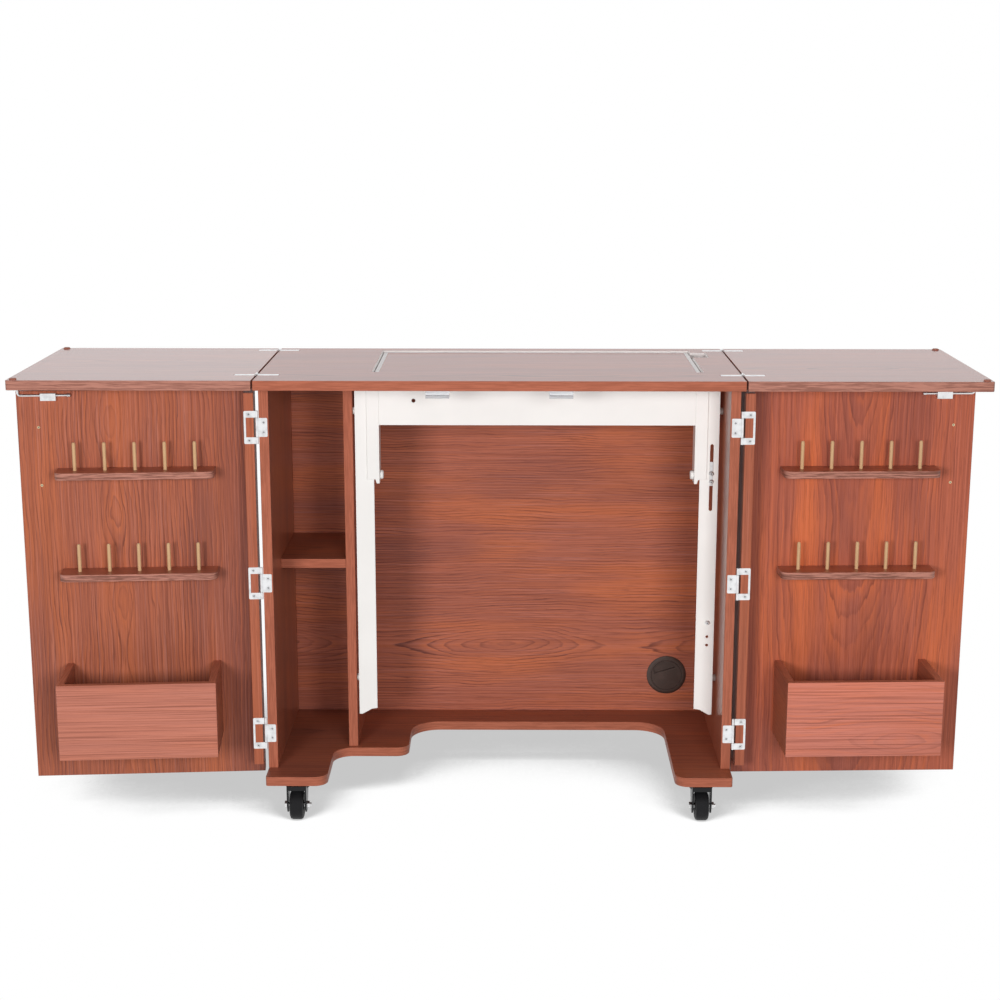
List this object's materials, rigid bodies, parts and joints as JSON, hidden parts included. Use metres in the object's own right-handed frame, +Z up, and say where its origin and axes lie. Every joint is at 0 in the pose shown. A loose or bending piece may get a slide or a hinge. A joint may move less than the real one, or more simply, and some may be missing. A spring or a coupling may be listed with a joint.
{
  "type": "fold-away sewing cabinet",
  "caption": "Fold-away sewing cabinet on casters: hinged top leaves, doors with thread racks and bins, a machine lift in the top and an open book bay.",
  "frame": {"origin": "on the floor, under the middle of the table top", "axes": "+X to the right as the user faces the open front, +Y from front to back, +Z up"},
  "size_m": [1.5656, 0.4536, 0.7549],
  "materials": {
    "cherry_laminate": "satin wood-grain laminate",
    "beech_dowel": "turned dowel, clear lacquer",
    "white_steel": "white stove enamel",
    "zinc": "zinc plate",
    "brass": "satin brass",
    "clear_plastic": "milky moulded plastic",
    "white_plastic": "white moulded plastic",
    "brown_plastic": "fine-grained moulded plastic",
    "brown_rubber": "soft moulded rubber",
    "black_steel": "black powder coat",
    "black_rubber": "smooth tread",
    "bright_steel": "bright plated"
  },
  "bodies": {
    "carcass": {"side_left": "cherry_laminate", "side_right": "cherry_laminate", "partition": "cherry_laminate", "shelf": "cherry_laminate", "base": "cherry_laminate", "back_panel": "cherry_laminate", "centre_top": "cherry_laminate", "door_catches": "clear_plastic", "grommet_sleeve": "brown_plastic", "leaf_hinge_plates": "zinc", "hinge_tabs": "zinc", "hinge_pins": "bright_steel", "lift_post_left": "white_steel", "lift_post_right": "white_steel", "lift_lock": "zinc", "caster_plates": "black_steel"},
    "grommet_cap": {"grommet_cap": "brown_plastic"},
    "lift": {"platform": "cherry_laminate", "lift_carriages": "white_steel", "lift_glides": "white_plastic", "lift_knobs": "white_plastic", "lift_apron": "white_steel"},
    "left_leaf": {"leaf_left": "cherry_laminate", "leaf_hinge_flaps_left": "zinc", "leaf_bumpers_left": "brown_rubber"},
    "left_door": {"door_panel_left": "cherry_laminate", "door_rail_left": "cherry_laminate", "hinge_windows_left": "zinc", "thread_racks_left": "cherry_laminate", "spool_pegs_left": "beech_dowel", "bin_front_left": "cherry_laminate", "bin_tray_left": "cherry_laminate", "door_handle_left": "brass", "rod_saddle_left": "zinc"},
    "left_lock_rod": {"lock_rod_left": "bright_steel"},
    "right_leaf": {"leaf_right": "cherry_laminate", "leaf_hinge_flaps_right": "zinc", "leaf_bumpers_right": "brown_rubber"},
    "right_door": {"door_panel_right": "cherry_laminate", "door_rail_right": "cherry_laminate", "hinge_windows_right": "zinc", "thread_racks_right": "cherry_laminate", "spool_pegs_right": "beech_dowel", "bin_front_right": "cherry_laminate", "bin_tray_right": "cherry_laminate", "door_handle_right": "brass", "rod_saddle_right": "zinc"},
    "right_lock_rod": {"lock_rod_right": "bright_steel"},
    "front_left_swivel": {"caster_fork_front_left": "black_steel", "caster_axle_front_left": "bright_steel"},
    "front_left_wheel": {"caster_wheel_front_left": "black_rubber"},
    "front_right_swivel": {"caster_fork_front_right": "black_steel", "caster_axle_front_right": "bright_steel"},
    "front_right_wheel": {"caster_wheel_front_right": "black_rubber"},
    "rear_left_swivel": {"caster_fork_rear_left": "black_steel", "caster_axle_rear_left": "bright_steel"},
    "rear_left_wheel": {"caster_wheel_rear_left": "black_rubber"},
    "rear_right_swivel": {"caster_fork_rear_right": "black_steel", "caster_axle_rear_right": "bright_steel"},
    "rear_right_wheel": {"caster_wheel_rear_right": "black_rubber"}
  },
  "joints": [
    {"name": "left_leaf_fold", "type": "hinge", "parent": "carcass", "child": "left_leaf", "pos_m": [-0.3915, 0, 0.7535], "axis": [0, 1, 0], "range_deg": [0, 180]},
    {"name": "left_door_swing", "type": "hinge", "parent": "carcass", "child": "left_door", "pos_m": [-0.392, -0.143, 0.408], "axis": [0, 0, 1], "range_deg": [-10.5, 175.5]},
    {"name": "left_rod_slide", "type": "slide", "parent": "left_door", "child": "left_lock_rod", "axis": [-0.9969, -0.0785, 0], "range_m": [-0.025, 0]},
    {"name": "right_leaf_fold", "type": "hinge", "parent": "carcass", "child": "right_leaf", "pos_m": [0.3915, 0, 0.7535], "axis": [0, -1, 0], "range_deg": [0, 180]},
    {"name": "right_door_swing", "type": "hinge", "parent": "carcass", "child": "right_door", "pos_m": [0.392, -0.143, 0.408], "axis": [0, 0, -1], "range_deg": [-4, 182]},
    {"name": "right_rod_slide", "type": "slide", "parent": "right_door", "child": "right_lock_rod", "axis": [0.9994, 0.0349, 0], "range_m": [-0.025, 0]},
    {"name": "lift_travel", "type": "slide", "parent": "carcass", "child": "lift", "axis": [0, 0, 1], "range_m": [-0.33, 0]},
    {"name": "grommet_cap_turn", "type": "hinge", "parent": "carcass", "child": "grommet_cap", "pos_m": [0.305, 0.172, 0.155], "axis": [0, 1, 0], "continuous": true},
    {"name": "front_left_swivel", "type": "hinge", "parent": "carcass", "child": "front_left_swivel", "pos_m": [-0.341, -0.1395, 0.06], "axis": [0, 0, 1], "continuous": true},
    {"name": "front_left_roll", "type": "hinge", "parent": "front_left_swivel", "child": "front_left_wheel", "pos_m": [-0.341, -0.1535, 0.025], "axis": [1, 0, 0], "continuous": true},
    {"name": "front_right_swivel", "type": "hinge", "parent": "carcass", "child": "front_right_swivel", "pos_m": [0.341, -0.1395, 0.06], "axis": [0, 0, 1], "continuous": true},
    {"name": "front_right_roll", "type": "hinge", "parent": "front_right_swivel", "child": "front_right_wheel", "pos_m": [0.341, -0.1535, 0.025], "axis": [1, 0, 0], "continuous": true},
    {"name": "rear_left_swivel", "type": "hinge", "parent": "carcass", "child": "rear_left_swivel", "pos_m": [-0.341, 0.14, 0.06], "axis": [0, 0, 1], "continuous": true},
    {"name": "rear_left_roll", "type": "hinge", "parent": "rear_left_swivel", "child": "rear_left_wheel", "pos_m": [-0.341, 0.126, 0.025], "axis": [1, 0, 0], "continuous": true},
    {"name": "rear_right_swivel", "type": "hinge", "parent": "carcass", "child": "rear_right_swivel", "pos_m": [0.341, 0.14, 0.06], "axis": [0, 0, 1], "continuous": true},
    {"name": "rear_right_roll", "type": "hinge", "parent": "rear_right_swivel", "child": "rear_right_wheel", "pos_m": [0.341, 0.126, 0.025], "axis": [1, 0, 0], "continuous": true}
  ]
}
